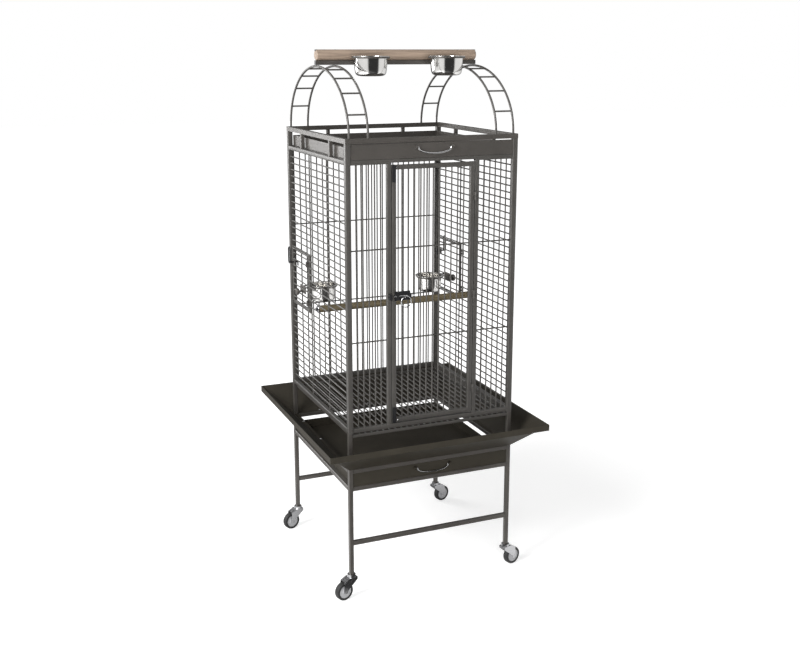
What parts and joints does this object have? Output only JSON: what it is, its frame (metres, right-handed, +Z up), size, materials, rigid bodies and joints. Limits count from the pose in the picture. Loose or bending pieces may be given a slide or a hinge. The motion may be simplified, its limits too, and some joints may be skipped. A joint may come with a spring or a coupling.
{
  "type": "parrot cage",
  "caption": "Charcoal wire parrot cage on a wheeled tube stand, with seed guards, slide-out trays, feeder doors with steel bowls, a front door and a ladder-arch play top.",
  "frame": {"origin": "on the floor under the centre of the footprint", "axes": "+Z up, the door and the tray fronts face -Y, +X to the right seen from the front"},
  "size_m": [0.68, 0.69, 1.5468],
  "materials": {
    "coated_frame": "charcoal powder coat, lightly textured",
    "coated_wire": "charcoal powder coat on welded wire",
    "coated_sheet": "charcoal powder coat on folded sheet",
    "chrome": "polished",
    "chrome_fork": "plated pressing",
    "steel_bowl": "spun stainless steel",
    "perch_wood": "olive stain, satin",
    "top_perch_wood": "taupe stain, satin",
    "rubber_wheel": "black, matte",
    "black_plastic": "satin"
  },
  "bodies": {
    "cage": {"leg_front_left": "coated_frame", "leg_front_right": "coated_frame", "leg_rear_left": "coated_frame", "leg_rear_right": "coated_frame", "crossbar_front": "coated_frame", "crossbar_rear": "coated_frame", "stand_rail_front_top": "coated_frame", "stand_rail_front_bottom": "coated_frame", "stand_rail_rear_top": "coated_frame", "stand_rail_rear_bottom": "coated_frame", "stand_rail_left_top": "coated_frame", "stand_rail_right_top": "coated_frame", "tray_runner_left": "coated_frame", "tray_runner_right": "coated_frame", "seed_guard_front": "coated_sheet", "seed_guard_rear": "coated_sheet", "seed_guard_left": "coated_sheet", "seed_guard_right": "coated_sheet", "front_panel": "coated_wire", "back_panel": "coated_wire", "side_panel_left": "coated_wire", "side_panel_right": "coated_wire", "roof_grille": "coated_wire", "grate_guide_left": "coated_wire", "grate_guide_right": "coated_wire", "door_keeper": "black_plastic", "top_holder_left": "coated_frame", "ladder_arch_left": "coated_frame", "top_holder_right": "coated_frame", "ladder_arch_right": "coated_frame", "inside_perch": "perch_wood", "top_perch": "top_perch_wood", "perch_bar": "coated_frame", "gallery": "coated_frame"},
    "door": {"door": "coated_wire", "door_bolt_plate": "black_plastic"},
    "door_bolt": {"door_bolt": "chrome"},
    "floor_grate": {"floor_grate": "coated_wire"},
    "waste_tray": {"waste_tray": "coated_sheet"},
    "waste_tray_bail": {"waste_tray_bail": "chrome"},
    "play_tray": {"play_tray": "coated_sheet"},
    "play_tray_bail": {"play_tray_bail": "chrome"},
    "feeder_door_left": {"feeder_door_left": "coated_wire", "feeder_holder_left": "coated_frame"},
    "feeder_latch_left": {"feeder_latch_left": "black_plastic"},
    "feeder_bowl_left": {"feeder_bowl_left": "steel_bowl"},
    "top_bowl_left": {"top_bowl_left": "steel_bowl"},
    "feeder_door_right": {"feeder_door_right": "coated_wire", "feeder_holder_right": "coated_frame"},
    "feeder_latch_right": {"feeder_latch_right": "black_plastic"},
    "feeder_bowl_right": {"feeder_bowl_right": "steel_bowl"},
    "top_bowl_right": {"top_bowl_right": "steel_bowl"},
    "caster_fork_front_left": {"caster_fork_front_left": "chrome_fork"},
    "caster_wheel_front_left": {"caster_wheel_front_left": "rubber_wheel"},
    "caster_fork_front_right": {"caster_fork_front_right": "chrome_fork"},
    "caster_wheel_front_right": {"caster_wheel_front_right": "rubber_wheel"},
    "caster_fork_rear_left": {"caster_fork_rear_left": "chrome_fork"},
    "caster_wheel_rear_left": {"caster_wheel_rear_left": "rubber_wheel"},
    "caster_fork_rear_right": {"caster_fork_rear_right": "chrome_fork"},
    "caster_wheel_rear_right": {"caster_wheel_rear_right": "rubber_wheel"}
  },
  "joints": [
    {"name": "door_hinge", "type": "hinge", "parent": "cage", "child": "door", "pos_m": [0.12525, -0.266, 0.87], "axis": [0, 0, 1], "range_deg": [0, 120]},
    {"name": "door_bolt_slide", "type": "slide", "parent": "door", "child": "door_bolt", "axis": [-1, 0, 0], "range_m": [0, 0.012]},
    {"name": "floor_grate_slide", "type": "slide", "parent": "cage", "child": "floor_grate", "axis": [0, -1, 0], "range_m": [0, 0.4]},
    {"name": "waste_tray_slide", "type": "slide", "parent": "cage", "child": "waste_tray", "axis": [0, -1, 0], "range_m": [0, 0.4]},
    {"name": "play_tray_slide", "type": "slide", "parent": "cage", "child": "play_tray", "axis": [0, -1, 0], "range_m": [0, 0.4]},
    {"name": "waste_tray_bail_hinge", "type": "hinge", "parent": "waste_tray", "child": "waste_tray_bail", "pos_m": [0, -0.2665, 0.36955], "axis": [1, 0, 0], "range_deg": [-90, 0]},
    {"name": "play_tray_bail_hinge", "type": "hinge", "parent": "play_tray", "child": "play_tray_bail", "pos_m": [0, -0.2665, 1.2907], "axis": [1, 0, 0], "range_deg": [-90, 0]},
    {"name": "feeder_door_hinge_left", "type": "hinge", "parent": "cage", "child": "feeder_door_left", "pos_m": [-0.2605, 0.08075, 0.86], "axis": [0, 0, 1], "range_deg": [0, 100]},
    {"name": "feeder_latch_turn_left", "type": "hinge", "parent": "feeder_door_left", "child": "feeder_latch_left", "pos_m": [-0.2575, 0.2335, 0.9009], "axis": [1, 0, 0], "range_deg": [0, 90]},
    {"name": "feeder_bowl_lift_left", "type": "slide", "parent": "feeder_door_left", "child": "feeder_bowl_left", "axis": [0, 0, 1], "range_m": [0, 0.05]},
    {"name": "top_bowl_lift_left", "type": "slide", "parent": "cage", "child": "top_bowl_left", "axis": [0, 0, 1], "range_m": [0, 0.06]},
    {"name": "feeder_door_hinge_right", "type": "hinge", "parent": "cage", "child": "feeder_door_right", "pos_m": [0.2605, 0.08075, 0.86], "axis": [0, 0, -1], "range_deg": [0, 100]},
    {"name": "feeder_latch_turn_right", "type": "hinge", "parent": "feeder_door_right", "child": "feeder_latch_right", "pos_m": [0.2575, 0.2335, 0.9009], "axis": [1, 0, 0], "range_deg": [0, 90]},
    {"name": "feeder_bowl_lift_right", "type": "slide", "parent": "feeder_door_right", "child": "feeder_bowl_right", "axis": [0, 0, 1], "range_m": [0, 0.05]},
    {"name": "top_bowl_lift_right", "type": "slide", "parent": "cage", "child": "top_bowl_right", "axis": [0, 0, 1], "range_m": [0, 0.06]},
    {"name": "caster_swivel_front_left", "type": "hinge", "parent": "cage", "child": "caster_fork_front_left", "pos_m": [-0.25115, -0.25615, 0.07], "axis": [0, 0, 1], "continuous": true},
    {"name": "caster_spin_front_left", "type": "hinge", "parent": "caster_fork_front_left", "child": "caster_wheel_front_left", "pos_m": [-0.27723, -0.26314, 0.02697], "axis": [0.2588, -0.9659, 0], "continuous": true},
    {"name": "caster_swivel_front_right", "type": "hinge", "parent": "cage", "child": "caster_fork_front_right", "pos_m": [0.25115, -0.25615, 0.07], "axis": [0, 0, 1], "continuous": true},
    {"name": "caster_spin_front_right", "type": "hinge", "parent": "caster_fork_front_right", "child": "caster_wheel_front_right", "pos_m": [0.27723, -0.24916, 0.02697], "axis": [-0.2588, 0.9659, 0], "continuous": true},
    {"name": "caster_swivel_rear_left", "type": "hinge", "parent": "cage", "child": "caster_fork_rear_left", "pos_m": [-0.25115, 0.25615, 0.07], "axis": [0, 0, 1], "continuous": true},
    {"name": "caster_spin_rear_left", "type": "hinge", "parent": "caster_fork_rear_left", "child": "caster_wheel_rear_left", "pos_m": [-0.27723, 0.24916, 0.02697], "axis": [0.2588, -0.9659, 0], "continuous": true},
    {"name": "caster_swivel_rear_right", "type": "hinge", "parent": "cage", "child": "caster_fork_rear_right", "pos_m": [0.25115, 0.25615, 0.07], "axis": [0, 0, 1], "continuous": true},
    {"name": "caster_spin_rear_right", "type": "hinge", "parent": "caster_fork_rear_right", "child": "caster_wheel_rear_right", "pos_m": [0.27723, 0.26314, 0.02697], "axis": [-0.2588, 0.9659, 0], "continuous": true}
  ]
}
